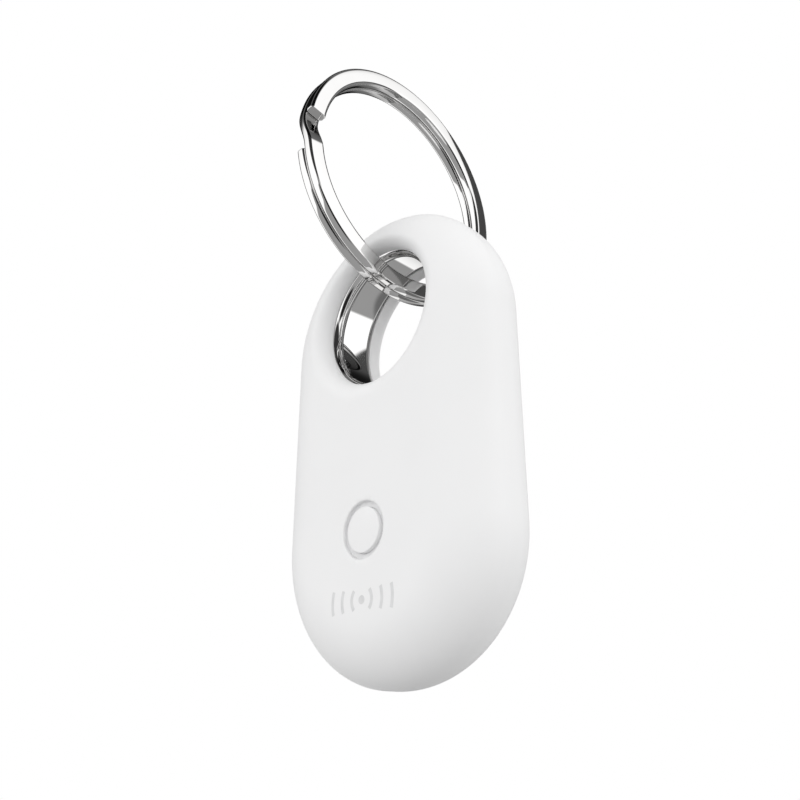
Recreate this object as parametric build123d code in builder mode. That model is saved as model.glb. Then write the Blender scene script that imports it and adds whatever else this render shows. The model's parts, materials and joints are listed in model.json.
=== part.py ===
"""A key-ring bluetooth tracker tag: a pebble-shaped case with a metal-lined eyelet, a round button,
a coin cell under a bayonet door, and the split ring it hangs from.

Millimetres, +Z up. The origin is the centre of the eyelet, half way through the case. The front face
looks along -Y, the door is on the +Y side, and the split ring stands above the eyelet in the YZ plane.
Depths are measured from the front face towards the back.
"""

import os
from math import cos, radians, sin

from build123d import *

os.makedirs("parts", exist_ok=True)

# ---- case ------------------------------------------------------------------------------------------
case_width = 29.4
case_length = 51.4
case_thickness = 10.3
end_radius = case_width / 2
eyelet_rise = 2.1  # the eyelet's centre lies this far above the centre of the case's top arc
top_centre = -eyelet_rise
case_top = top_centre + end_radius
case_bottom = case_top - case_length
cell_centre = case_bottom + end_radius  # centre of the bottom arc, of the button, cell and door
front_round = (6.15, 4.35)  # the case's front edge: an ellipse, across the face and into the depth
rear_round = (4.5, 4.9)
wall = 1.3

# ---- eyelet ----------------------------------------------------------------------------------------
mouth_radius = 7.85
mouth_round = (2.2, 1.7)
liner_bore = 8.4
liner_outer = 9.0
liner_front = 1.9
liner_rear = 8.05
bead_radius = 0.8
rear_mouth_radius = 8.42
rear_mouth_round = (1.0, 1.0)
boss_outer = 10.4
boss_rear = 7.95
collar_outer = 9.4
slip = 0.05  # clearance between pieces that are pushed together
overcut = 1.0  # how far a cutter reaches past what it cuts

# ---- rear cover ------------------------------------------------------------------------------------
cover_half_width = 12.5
cover_inside = 8.6  # depth of the cover's inner face
gasket_half_width = 12.05
gasket_width = 0.4
gasket_height = 0.37
gasket_slip = 0.01
groove_room = 0.03  # how much deeper the gasket's groove is than the gasket

# ---- battery door ----------------------------------------------------------------------------------
door_radius = 11.45
door_recess = 11.6
door_inside = 8.45
neck_radius = 10.4
ledge_bore = 10.5
lug_room = 11.2  # the space behind the ledge that the lugs turn in
ledge_depths = (8.95, 9.55)
flange_inside = 9.6
lug_radius = 11.0
lug_depths = (8.5, 8.88)
lug_half_angle = 11.0
lug_angles = (90.0, 210.0, 330.0)
unlock_angle = 45.0
notch_half_angle = 14.0
notch_radius = 11.05
stop_half_angle = 2.0
stop_radii = (10.6, 11.3)
stop_gap = 0.5  # degrees between a lug and its stop
seal_ring = 11.22
seal_section = 0.2
seal_depth = 9.77
rebate_radius = 11.0  # the seal's rebate round the door's flange
rebate_rear = 9.98
coin_slot = (11.0, 1.7, 0.8)  # length, width, depth
pad_radius = 6.0
pad_depths = (8.32, 8.85)

# ---- cell, board and contacts ----------------------------------------------------------------------
cell_radius = 10.0
cell_height = 3.2
cell_front = 5.1
cell_rear = cell_front + cell_height
cap_radius = 8.8
crimp_radius = 9.15
can_wall = 0.25
crimp_front = 0.25  # the can's folded edge, behind the cap's face
crimp_rear = 0.5
can_corner = 0.4
cap_round = 0.25
gasket_film = 0.05
board_front = 2.7
board_rear = 3.5
board_half_width = 11.7
board_top = -9.6
board_rest = -35.4  # the rib under the board's lower edge
rest_rib = (7.0, 1.0)
rib_corner = 0.3
board_corner = 0.6
board_gap = 0.3  # between the board and the eyelet's boss
carrier_bore = 10.2
carrier_floor_bore = 8.4
carrier_outer = 11.3
carrier_rear = 8.35
screw_places = [(9.9, -12.9), (-9.9, -12.9)]
screw_radius = 0.7
screw_boss = 1.6
screw_tip = 1.0
screw_hole_end = 0.7
screw_head = (1.35, 0.8)  # radius, height
cross_slot = (1.5, 0.35, 0.4)  # length, width, depth
ear_radius = 1.9
ear_web = (4.4, 5.2)
ear_web_place = (9.4, -15.5)
ear_rear = 4.4
leaf = 0.2  # thickness of the spring contacts
strip = 0.9 * leaf  # drawn a little thinner, so that it only just meets its neighbours
negative_fingers = (2.2, 1.6)  # distance from the middle, width
negative_foot = (6.0, 1.6)
positive_width = 3.6
positive_notch = (4.6, 5.6)
chip_corner = 0.12

# ---- button ----------------------------------------------------------------------------------------
button_bore = 2.92
button_radius = 2.27
button_height = 0.9
cap_corner = 0.1
groove_depth = 0.45
membrane_radius = 4.2
membrane_rear = 1.6
plunger = (1.0, 2.25)  # radius, rear
dome_steps = ((2.0, 0.1), (1.5, 0.25), (0.9, 0.4))  # radius, height above the board

# ---- sounder ---------------------------------------------------------------------------------------
sounder_centre = -15.2
sounder_radius = 4.4
ceramic_radius = 3.1
sounder_depths = (1.4, 1.55, 1.7)  # plate front, plate rear, ceramic rear
tape_width = 0.8
sounder_spring = 0.8  # width of each of its two contacts

# ---- split ring ------------------------------------------------------------------------------------
ring_outer = 15.0
ring_inner = 12.87
ring_centre = 18.9
coil_thickness = 1.175
coil_gap = 0.05  # between the ring's two coils
wire_corner = 0.3
first_end = 80.0  # the wire's ends, in degrees from the top of the ring towards the front
second_end = 99.0
joggle_margin = 0.5  # degrees between an end of the wire and the joggle beside it
joggle_steps = 8

cell_axis = Axis((0, 0, cell_centre), (0, 1, 0))
eyelet_axis = Axis((0, 0, 0), (0, 1, 0))


def at(depth):
    """The Y of a depth below the front face."""
    return depth - case_thickness / 2


def layer(depth):
    """A plane across the case at a depth, with X and Z as its own axes; it is extruded backwards."""
    return Plane.XZ.offset(case_thickness / 2 - depth)


def backwards(height, mode=Mode.ADD):
    """Extrude the pending sketch towards the back of the case."""
    extrude(amount=-height, mode=mode)


def save(builder, name):
    """Label a finished piece and write its STEP file."""
    builder.part.label = name
    export_step(builder.part, f"parts/{name}.step")


def case_profile(height, inset=0.0):
    """Half of the case's section at a height, from axis to side, drawn an inset inside the skin."""
    side = end_radius - inset
    front = at(inset)
    rear = at(case_thickness - inset)
    front_x, front_y = front_round[0] - inset, front_round[1] - inset
    rear_x, rear_y = rear_round[0] - inset, rear_round[1] - inset
    with BuildSketch(Plane.XY.offset(height)) as profile:
        with BuildLine():
            Line((0, rear), (0, front))
            Line((0, front), (side - front_x, front))
            EllipticalCenterArc((side - front_x, front + front_y), front_x, front_y, 270, arc_size=90)
            Line((side, front + front_y), (side, rear - rear_y))
            EllipticalCenterArc((side - rear_x, rear - rear_y), rear_x, rear_y, 0, arc_size=90)
            Line((side - rear_x, rear), (0, rear))
        make_face()
    return profile.sketch


def case_body(inset=0.0):
    """The pebble: the section turned about both end arcs, and drawn straight between them."""
    with BuildPart() as body:
        for height, turn in ((cell_centre, 1), (top_centre, -1)):
            end_axis = Axis((0, 0, height), (0, turn, 0))
            revolve(case_profile(height, inset), axis=end_axis, revolution_arc=180)
        with BuildSketch(Plane.XY.offset(cell_centre)):
            add(case_profile(0, inset))
            mirror(about=Plane.YZ)
        extrude(amount=top_centre - cell_centre)
    return body.part


def outline(half_width, mode=Mode.ADD):
    """The case's outline, drawn at a smaller half width about the same two centres."""
    with Locations((0, (top_centre + cell_centre) / 2)):
        SlotCenterToCenter(top_centre - cell_centre, 2 * half_width, rotation=90, mode=mode)


def mouth(radius, roundness, face, inward):
    """Cut a rounded mouth into the skin at a depth, running inward (+1 backwards, -1 forwards)."""
    across, deep = roundness
    edge = at(face)
    outside = edge - inward
    throat = edge + inward * (deep + 0.2)
    arc_centre = (radius + across, edge + inward * deep)
    quarter = 180 if inward > 0 else 90
    with BuildSketch(Plane.XY) as cutter:
        with BuildLine():
            Line((0, outside), (radius + across, outside))
            Line((radius + across, outside), (radius + across, edge))
            EllipticalCenterArc(arc_centre, across, deep, quarter, arc_size=90)
            Line((radius, arc_centre[1]), (radius, throat))
            Line((radius, throat), (0, throat))
            Line((0, throat), (0, outside))
        make_face()
    revolve(cutter.sketch, axis=eyelet_axis, mode=Mode.SUBTRACT)


def sector(inner, outer, middle, half_angle):
    """A piece of a ring about the cell's centre, seen from the front."""
    corners = (
        (inner, middle - half_angle),
        (outer, middle - half_angle),
        (outer, middle),
        (outer, middle + half_angle),
        (inner, middle + half_angle),
        (inner, middle),
    )
    points = [
        (radius * cos(radians(angle)), cell_centre + radius * sin(radians(angle)))
        for radius, angle in corners
    ]
    with BuildLine() as edges:
        Line(points[0], points[1])
        ThreePointArc(points[1], points[2], points[3])
        Line(points[3], points[4])
        ThreePointArc(points[4], points[5], points[0])
    make_face(edges.line)


def disc(centre, radius, front, rear, mode=Mode.ADD):
    """A round layer of the case, centred on its middle line."""
    with BuildSketch(layer(front)) as circle:
        with Locations((0, centre)):
            Circle(radius)
    extrude(circle.sketch, amount=front - rear, mode=mode)


def chip(name, places, size, front):
    """Parts soldered on the board's front: blocks of one size at one or more places."""
    with BuildPart() as piece:
        with BuildSketch(layer(front)):
            with Locations(*places):
                RectangleRounded(*size, chip_corner)
        backwards(board_front - front)
    save(piece, name)


pebble = case_body()
cavity = case_body(inset=wall)

# ---- front shell: the cup that wraps the front and the sides ---------------------------------------
with BuildPart() as front_shell:
    add(pebble)
    add(cavity, mode=Mode.SUBTRACT)
    disc(0, boss_outer, wall - slip, boss_rear)
    mouth(mouth_radius, mouth_round, 0.0, 1)
    disc(0, mouth_radius, wall, case_thickness, Mode.SUBTRACT)
    disc(0, liner_outer + slip, liner_front, case_thickness, Mode.SUBTRACT)
    with BuildSketch(layer(cover_inside)):
        outline(cover_half_width + slip)
    backwards(case_thickness, Mode.SUBTRACT)
    with BuildSketch(layer(wall - slip)):
        with Locations(*screw_places):
            Circle(screw_boss)
        with Locations((0, board_rest)):
            RectangleRounded(*rest_rib, rib_corner)
    backwards(board_front - wall + slip)
    with BuildSketch(layer(screw_hole_end)):
        with Locations(*screw_places):
            Circle(screw_radius + slip / 2)
    backwards(board_front, Mode.SUBTRACT)
    disc(cell_centre, button_bore, -overcut, wall + overcut, Mode.SUBTRACT)
save(front_shell, "front_shell")

# ---- rear cover: the plate set into the back, with the bayonet ledge -------------------------------
with BuildPart() as rear_cover:
    add(pebble)
    with BuildSketch(layer(cover_inside)):
        outline(cover_half_width)
    backwards(case_thickness, Mode.INTERSECT)
    disc(0, collar_outer, liner_rear + slip, cover_inside + slip)
    disc(0, rear_mouth_radius, liner_rear, case_thickness, Mode.SUBTRACT)
    mouth(rear_mouth_radius, rear_mouth_round, case_thickness, -1)
    disc(cell_centre, lug_room, cover_inside - overcut, ledge_depths[0], Mode.SUBTRACT)
    disc(cell_centre, ledge_bore, cover_inside, case_thickness, Mode.SUBTRACT)
    disc(cell_centre, door_recess, ledge_depths[1], case_thickness + overcut, Mode.SUBTRACT)
    with BuildSketch(layer(cover_inside)):
        for angle in lug_angles:
            sector(neck_radius - overcut, notch_radius, angle - unlock_angle, notch_half_angle)
    backwards(case_thickness, Mode.SUBTRACT)
    with BuildSketch(layer(cover_inside)):
        for angle in lug_angles:
            past_lug = lug_half_angle + stop_half_angle + stop_gap
            sector(*stop_radii, angle + past_lug, stop_half_angle)
            sector(*stop_radii, angle - unlock_angle - past_lug, stop_half_angle)
    backwards(ledge_depths[0] - cover_inside + slip)
    with BuildSketch(layer(cover_inside)):
        outline(gasket_half_width + gasket_width / 2)
        outline(gasket_half_width - gasket_width / 2, mode=Mode.SUBTRACT)
    backwards(gasket_height + groove_room, Mode.SUBTRACT)
save(rear_cover, "rear_cover")

# ---- gasket between the cover and the shell --------------------------------------------------------
with BuildPart() as cover_gasket:
    with BuildSketch(layer(cover_inside)):
        outline(gasket_half_width + gasket_width / 2 - gasket_slip)
        outline(gasket_half_width - gasket_width / 2 + gasket_slip, mode=Mode.SUBTRACT)
    backwards(gasket_height)
save(cover_gasket, "cover_gasket")

# ---- eyelet liner: a polished sleeve with a rolled front bead --------------------------------------
with BuildPart() as eyelet_liner:
    bead_centre = (liner_outer - bead_radius, at(liner_front) + bead_radius)
    with BuildSketch(Plane.XY):
        with Locations(((liner_bore + liner_outer) / 2, at((liner_front + liner_rear) / 2))):
            Rectangle(liner_outer - liner_bore, liner_rear - liner_front)
        with Locations(bead_centre):
            Circle(bead_radius)
    revolve(axis=eyelet_axis)
save(eyelet_liner, "eyelet_liner")

# ---- button: the cap, the membrane that seals it and the dome it presses ---------------------------
with BuildPart() as button_cap:
    disc(cell_centre, button_radius, 0.0, button_height)
    fillet(button_cap.faces().sort_by(Axis.Y)[0].edges(), radius=cap_corner)
save(button_cap, "button_cap")

with BuildPart() as button_membrane:
    disc(cell_centre, membrane_radius, wall, membrane_rear)
    disc(cell_centre, button_bore - slip, groove_depth, wall)
    disc(cell_centre, button_radius, 0.0, button_height, Mode.SUBTRACT)
    disc(cell_centre, plunger[0], membrane_rear, plunger[1])
save(button_membrane, "button_membrane")

with BuildPart() as dome_switch:
    foot = 0.0
    for radius, top in dome_steps:
        disc(cell_centre, radius, board_front - top, board_front - foot)
        foot = top
save(dome_switch, "dome_switch")

# ---- circuit board and what is soldered to it ------------------------------------------------------
with BuildPart() as circuit_board:
    with BuildSketch(layer(board_front)):
        with Locations((0, cell_centre)):
            Circle(board_half_width)
        with Locations((0, (cell_centre + board_top) / 2)):
            Rectangle(2 * board_half_width, board_top - cell_centre)
        Circle(boss_outer + board_gap, mode=Mode.SUBTRACT)
    backwards(board_rear - board_front)
    tips = circuit_board.edges().filter_by(Axis.Y).group_by(Axis.Z)[-1]
    fillet(tips, radius=board_corner)
    with BuildSketch(layer(board_front)):
        with Locations(*screw_places):
            Circle(screw_radius + 0.05)
    backwards(case_thickness, Mode.SUBTRACT)
save(circuit_board, "circuit_board")

chip("radio_chip", [(8.1, -19.6)], (4.6, 4.6), 1.85)
chip("main_crystal", [(6.9, -14.9)], (2.0, 1.6), 2.2)
chip("clock_crystal", [(8.6, -24.2)], (1.6, 1.0), 2.2)
chip("power_inductor", [(-7.9, -18.2)], (2.2, 1.8), 1.9)
chip("chip_antenna", [(0, -33.0)], (7.0, 1.8), 1.75)
chip(
    "capacitors",
    [(-8.6 + 1.3 * column, -22.4 - 2.3 * row) for column in range(3) for row in range(3)],
    (0.7, 1.5),
    2.1,
)

# ---- sounder: a piezo disc taped inside the front wall, and its two spring contacts ----------------
with BuildPart() as sounder_tape:
    disc(sounder_centre, sounder_radius, wall, sounder_depths[0])
    disc(sounder_centre, sounder_radius - tape_width, 0, sounder_depths[0] + overcut, Mode.SUBTRACT)
save(sounder_tape, "sounder_tape")

with BuildPart() as sounder_plate:
    disc(sounder_centre, sounder_radius, sounder_depths[0], sounder_depths[1])
save(sounder_plate, "sounder_plate")

with BuildPart() as sounder_ceramic:
    disc(sounder_centre, ceramic_radius, sounder_depths[1], sounder_depths[2])
save(sounder_ceramic, "sounder_ceramic")

with BuildPart() as sounder_contacts:
    for across, touch in ((0.0, sounder_depths[2]), (3.7, sounder_depths[1])):
        with BuildSketch(Plane.YZ.offset(across - sounder_spring / 2)):
            with BuildLine():
                foot = at(board_front) - leaf / 2
                tip = at(touch) + leaf / 2
                Polyline(
                    (foot, sounder_centre - 2.4),
                    (foot, sounder_centre - 1.0),
                    (tip, sounder_centre),
                    (tip + 0.15, sounder_centre + 0.5),
                )
            trace(line_width=strip)
        extrude(amount=sounder_spring)
save(sounder_contacts, "sounder_contacts")

# ---- cell carrier, its screws and the cell's contacts ----------------------------------------------
with BuildPart() as cell_carrier:
    with BuildSketch(layer(board_rear)):
        with Locations((0, cell_centre)):
            Circle(carrier_outer)
        with Locations(*screw_places):
            Circle(ear_radius)
        for side in (1, -1):
            with Locations((side * ear_web_place[0], ear_web_place[1])):
                Rectangle(*ear_web)
    backwards(ear_rear - board_rear)
    disc(cell_centre, carrier_outer, board_rear, carrier_rear)
    disc(cell_centre, carrier_bore, cell_front, case_thickness, Mode.SUBTRACT)
    disc(cell_centre, carrier_floor_bore, board_rear - overcut, case_thickness, Mode.SUBTRACT)
    with BuildSketch(layer(board_rear)):
        with Locations((0, cell_centre + carrier_outer)):
            Rectangle(*positive_notch)
        with Locations(*screw_places):
            Circle(screw_radius + 0.05)
    backwards(case_thickness, Mode.SUBTRACT)
save(cell_carrier, "cell_carrier")

with BuildPart() as board_screws:
    with BuildSketch(layer(screw_tip)):
        with Locations(*screw_places):
            Circle(screw_radius)
    backwards(ear_rear - screw_tip)
    with BuildSketch(layer(ear_rear)):
        with Locations(*screw_places):
            Circle(screw_head[0])
    backwards(screw_head[1])
    with BuildSketch(layer(ear_rear + screw_head[1] - cross_slot[2])):
        with Locations(*screw_places):
            Rectangle(cross_slot[0], cross_slot[1])
            Rectangle(cross_slot[1], cross_slot[0])
    backwards(cross_slot[2] + overcut, Mode.SUBTRACT)
save(board_screws, "board_screws")

with BuildPart() as negative_contact:
    for side in (1, -1):
        with BuildSketch(Plane.YZ.offset(side * negative_fingers[0] - negative_fingers[1] / 2)):
            with BuildLine():
                Polyline(
                    (at(board_rear) + leaf / 2, cell_centre - 5.0),
                    (at(board_rear) + leaf / 2, cell_centre - 2.5),
                    (at(cell_front) - leaf / 2, cell_centre + 2.6),
                    (at(cell_front) - leaf, cell_centre + 3.6),
                )
            trace(line_width=strip)
        extrude(amount=negative_fingers[1])
    with BuildSketch(layer(board_rear + (leaf - strip) / 2)):
        with Locations((0, cell_centre - 4.4)):
            Rectangle(*negative_foot)
    backwards(strip)
save(negative_contact, "negative_contact")

with BuildPart() as positive_contact:
    with BuildSketch(Plane.YZ.offset(-positive_width / 2)):
        with BuildLine():
            touch = cell_centre + cell_radius + leaf / 2
            Polyline(
                (at(board_rear) + leaf / 2, touch + 2.3),
                (at(board_rear) + leaf / 2, touch + 0.9),
                (at(7.9), touch + 0.9),
                (at(7.9), touch + 0.5),
                (at(6.6), touch),
                (at(5.7), touch + 0.4),
            )
        trace(line_width=strip)
    extrude(amount=positive_width)
save(positive_contact, "positive_contact")

# ---- coin cell: the can, the cap with its contents and the insulating gasket -----------------------
with BuildPart() as cell_can:
    disc(cell_centre, cell_radius, cell_front + crimp_front, cell_rear)
    can_inside = cell_radius - can_wall
    disc(cell_centre, can_inside, cell_front + crimp_rear, cell_rear - can_wall, Mode.SUBTRACT)
    disc(cell_centre, crimp_radius, cell_front, cell_rear - can_wall, Mode.SUBTRACT)
    fillet(cell_can.faces().sort_by(Axis.Y)[-1].edges(), radius=can_corner)
save(cell_can, "cell_can")

with BuildPart() as cell_cap:
    disc(cell_centre, cap_radius, cell_front, cell_rear - can_wall - gasket_film)
    fillet(cell_cap.faces().sort_by(Axis.Y)[0].edges(), radius=cap_round)
save(cell_cap, "cell_cap")

with BuildPart() as cell_gasket:
    gasket_outer = cell_radius - can_wall - gasket_film
    disc(cell_centre, gasket_outer, cell_front + crimp_rear, cell_rear - can_wall - gasket_film)
    lip_radius = crimp_radius - gasket_film / 2
    disc(cell_centre, lip_radius, cell_front + crimp_front, cell_front + crimp_rear)
    disc(cell_centre, cap_radius, cell_front - overcut, cell_rear + overcut, Mode.SUBTRACT)
save(cell_gasket, "cell_gasket")

# ---- battery door: a domed disc with three bayonet lugs --------------------------------------------
with BuildPart() as battery_door:
    revolve(case_profile(cell_centre), axis=cell_axis)
    with BuildSketch(layer(flange_inside)):
        with Locations((0, cell_centre)):
            Circle(door_radius)
    backwards(case_thickness, Mode.INTERSECT)
    disc(cell_centre, neck_radius, door_inside, flange_inside)
    with BuildSketch(layer(lug_depths[0])):
        for angle in lug_angles:
            sector(neck_radius - overcut, lug_radius, angle, lug_half_angle)
    backwards(lug_depths[1] - lug_depths[0])
    with BuildSketch(layer(flange_inside)):
        with Locations((0, cell_centre)):
            Circle(door_radius + overcut)
            Circle(rebate_radius, mode=Mode.SUBTRACT)
    backwards(rebate_rear - flange_inside, Mode.SUBTRACT)
    disc(cell_centre, pad_radius + slip, 0, pad_depths[1], Mode.SUBTRACT)
    with BuildSketch(layer(case_thickness - coin_slot[2])):
        with Locations((0, cell_centre)):
            SlotOverall(coin_slot[0], coin_slot[1])
    backwards(coin_slot[2] + overcut, Mode.SUBTRACT)
save(battery_door, "battery_door")

with BuildPart() as door_seal:
    with BuildSketch(Plane.XY.offset(cell_centre)):
        with Locations((seal_ring, at(seal_depth))):
            Circle(seal_section)
    revolve(axis=cell_axis)
save(door_seal, "door_seal")

with BuildPart() as door_pad:
    disc(cell_centre, pad_radius, pad_depths[0], pad_depths[1])
save(door_pad, "door_pad")

# ---- split ring: one flat wire wound twice round, with a joggle between the coils ------------------
coil_middle = (coil_thickness + coil_gap) / 2
wire_middle = (ring_outer + ring_inner) / 2


def wire_plane(angle):
    """The plane that cuts the wire at an angle from the top of the ring, counted towards the front."""
    turned = radians(angle)
    return Plane((0, 0, ring_centre), x_dir=(1, 0, 0), z_dir=(0, -cos(turned), -sin(turned)))


def wire_section(angle, across):
    """The flat wire's section at an angle, with its middle at a distance to the right of the ring."""
    with BuildSketch(wire_plane(angle)) as section:
        with Locations((across, wire_middle)):
            RectangleRounded(coil_thickness, ring_outer - ring_inner, wire_corner)
    return section.sketch


ring_axis = Axis((0, 0, ring_centre), (-1, 0, 0))
joggle_start = second_end - 360 - joggle_margin
joggle_end = first_end - 360 + joggle_margin
joggle_step = (joggle_end - joggle_start) / joggle_steps
joggle_angles = [joggle_start + joggle_step * step for step in range(joggle_steps + 1)]
first_arc = first_end - joggle_start
second_arc = joggle_end - (second_end - 720)

with BuildPart() as split_ring:
    revolve(wire_section(first_end, coil_middle), axis=ring_axis, revolution_arc=first_arc)
    for index, angle in enumerate(joggle_angles):
        along = index / joggle_steps
        add(wire_section(angle, coil_middle * (1 - 2 * along**2 * (3 - 2 * along))))
    loft()
    revolve(wire_section(joggle_end, -coil_middle), axis=ring_axis, revolution_arc=second_arc)
save(split_ring, "split_ring")
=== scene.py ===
import json
import math

import bmesh
import bpy
import numpy as np
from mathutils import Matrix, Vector


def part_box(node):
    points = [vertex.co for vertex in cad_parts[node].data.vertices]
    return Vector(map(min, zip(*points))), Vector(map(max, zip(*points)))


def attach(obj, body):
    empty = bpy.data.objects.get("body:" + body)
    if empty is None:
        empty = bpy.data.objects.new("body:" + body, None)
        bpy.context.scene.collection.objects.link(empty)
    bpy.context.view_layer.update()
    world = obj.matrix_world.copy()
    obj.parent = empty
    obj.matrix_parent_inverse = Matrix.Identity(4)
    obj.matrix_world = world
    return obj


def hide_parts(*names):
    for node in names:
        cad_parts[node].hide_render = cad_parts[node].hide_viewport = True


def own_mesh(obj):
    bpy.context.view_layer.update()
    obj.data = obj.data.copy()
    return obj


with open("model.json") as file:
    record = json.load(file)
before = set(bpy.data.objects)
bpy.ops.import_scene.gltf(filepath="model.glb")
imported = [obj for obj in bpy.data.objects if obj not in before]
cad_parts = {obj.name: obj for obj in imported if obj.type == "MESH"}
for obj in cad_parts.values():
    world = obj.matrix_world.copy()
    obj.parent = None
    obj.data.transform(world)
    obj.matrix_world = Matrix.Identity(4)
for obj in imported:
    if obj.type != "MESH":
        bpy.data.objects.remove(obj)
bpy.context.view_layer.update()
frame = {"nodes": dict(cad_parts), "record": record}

# Shapes are worked out in millimetres in the frame's own axes, and become metres in solid().
MM = 0.001
AROUND = 320  # steps round the case and round a large turned piece
AROUND_BUTTON = 192
ALONG_RING = 1500  # steps along the split ring's wire
BEYOND = 1.0  # how far a cutting form reaches past what it cuts
OVERCUT = 0.1  # the same, where another piece is close
SUPPORT = 0.05  # a point this far past a round keeps its shading off the flat next to it
SAME_POINT = 1e-7  # metres
NEARLY_SAME = 4e-6  # metres: booleans leave points this close together


# ---- sizes: the outer ones are read from the frame -------------------------------------------------
def box_mm(node):
    """The CAD node's lowest and highest corners in millimetres."""
    low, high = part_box(node)
    return np.array(low) / MM, np.array(high) / MM


shell_low, shell_high = box_mm("front_shell")
liner_low, liner_high = box_mm("eyelet_liner")
cover_high = box_mm("rear_cover")[1]
ring_high = box_mm("split_ring")[1]
cap_high = box_mm("button_cap")[1]
membrane_high = box_mm("button_membrane")[1]
door_high = box_mm("battery_door")[1]
BOARD_FRONT = box_mm("circuit_board")[0][1]

END_RADIUS = shell_high[0]  # the case's outline is two half circles joined by straight sides
TOP_CENTRE = shell_high[2] - END_RADIUS
CELL_CENTRE = shell_low[2] + END_RADIUS  # also the centre of the button and of the door
FRONT = shell_low[1]
REAR = cover_high[1]
FRONT_ROUND = (6.15, 4.35)  # the face's edge is an ellipse: across the face, and into the depth
REAR_ROUND = (4.5, 4.9)
WALL = 1.3
SLIP = 0.05  # clearance between fixed pieces

COVER_HALF = cover_high[0]
SEAM_HALF = COVER_HALF + SLIP
COVER_INSIDE = FRONT + 8.6
GASKET_GROOVE = (0.25, 0.65, 0.4)  # from the cover's edge to its two sides, and its depth
EDGE = 0.12  # the small round on moulded edges

MOUTH_RADIUS = 7.85
MOUTH_ROUND = (2.2, 1.7)
REAR_MOUTH_RADIUS = 8.42
REAR_MOUTH_ROUND = (1.0, 1.0)
LINER_BORE = 8.4
LINER_OUTER = liner_high[0]
LINER_FRONT = liner_low[1]
LINER_REAR = liner_high[1]
BEAD = 0.8
HOLLOW = 0.4
REAR_FLARE = 0.5
BOSS_OUTER = 10.4  # the boss round the eyelet, that the liner sits in
BOSS_REAR = FRONT + 7.95
COLLAR_OUTER = 9.4

SCREW_PLACES = ((9.9, -12.9), (-9.9, -12.9))
SCREW_BOSS = 1.6
SCREW_HOLE = (0.725, FRONT + 0.7)  # radius, and where it ends in the front wall
REST_RIB = (7.0, 1.0, -35.4)  # length, width and place along Z of the rib under the board's edge
RIB_CORNER = 0.3
ROOTED = 0.3  # how far posts and ribs start inside the front wall

CAP_RADIUS = cap_high[0]
CAP_REAR = cap_high[1]
BUTTON_BORE = 2.92
GROOVE_FLOOR = FRONT + 0.45
BORE_EDGE = 0.05
SHADE_LIP = (BUTTON_BORE - 0.06, FRONT + 0.08)  # the membrane lines the groove's outer wall in grey: painted shade on that wall

DOOR_RADIUS = door_high[0]
DOOR_INSIDE = FRONT + 8.45
DOOR_RECESS = 11.6
LEDGE_BORE = 10.5
LEDGE = (FRONT + 8.95, FRONT + 9.55)
NECK_RADIUS = 10.4
LUG_ROOM = 11.2
LUG_RADIUS = 11.0
LUG_DEPTHS = (FRONT + 8.5, FRONT + 8.88)
LUG_ANGLES = (90.0, 210.0, 330.0)
LUG_HALF_ANGLE = 11.0
LUG_ROOT = 0.5  # how far a lug starts inside the neck
NOTCH_OUTER = LUG_ROOM - 0.15
NOTCH_HALF_ANGLE = 14.0
UNLOCK_ANGLE = 45.0
FLANGE_INSIDE = FRONT + 9.6
SEAL_REBATE = (11.0, FRONT + 9.98)
PAD_POCKET = (6.05, FRONT + 8.85)
COIN_SLOT = (11.0, 1.7, 0.8)  # length, width, depth
CLOSED_MARK = (0.35, 12.6)  # radius of the dot on the cover, and how far it is above the cell's centre
POINTER = (0.75, 9.0)  # the same for the triangle on the door
POINTER_CORNERS = (90, 210, 330)  # degrees
MARK_SINK = 0.12

RING_OUTER = ring_high[1]
RING_CENTRE = ring_high[2] - RING_OUTER
RING_WIDE = 2.13  # the flat wire, across its flat
COIL_THICK = 1.175
COIL_MIDDLE = ring_high[0] - COIL_THICK / 2
WIRE_CORNER = 0.4
FIRST_END = 80.0  # degrees from the top of the ring towards the front
SECOND_END = 99.0
JOGGLE_MARGIN = 0.5
END_BLUNT = 0.14


# ---- mesh helpers: a form is (points, faces), in millimetres ----------------------------------------
def solid(name, form):
    """A closed mesh object with its normals outwards."""
    points, faces = form
    mesh = bpy.data.meshes.new(name)
    mesh.from_pydata([tuple(float(c) * MM for c in point) for point in points], [], faces)
    work = bmesh.new()
    work.from_mesh(mesh)
    bmesh.ops.remove_doubles(work, verts=work.verts, dist=SAME_POINT)
    bmesh.ops.recalc_face_normals(work, faces=work.faces)
    work.to_mesh(mesh)
    work.free()
    thing = bpy.data.objects.new(name, mesh)
    bpy.context.scene.collection.objects.link(thing)
    return thing


def clean(mesh):
    """Join points that all but touch, and dissolve faces without area, as booleans leave behind."""
    work = bmesh.new()
    work.from_mesh(mesh)
    bmesh.ops.remove_doubles(work, verts=work.verts, dist=NEARLY_SAME)
    bmesh.ops.triangulate(work, faces=[face for face in work.faces if len(face.verts) > 4])
    bmesh.ops.dissolve_degenerate(work, edges=work.edges, dist=SAME_POINT)
    work.to_mesh(mesh)
    work.free()


def combine(thing, operation, forms):
    """Cut forms out of a mesh, or join them to it, for good."""
    for form in forms:
        tool = solid("tool", form)
        modifier = thing.modifiers.new("boolean", "BOOLEAN")
        modifier.operation = operation
        modifier.solver = "EXACT"
        modifier.object = tool
        bpy.context.view_layer.update()
        evaluated = thing.evaluated_get(bpy.context.evaluated_depsgraph_get())
        mesh = bpy.data.meshes.new_from_object(evaluated)
        clean(mesh)
        thing.modifiers.clear()
        thing.data = mesh
        bpy.data.objects.remove(tool)


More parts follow.
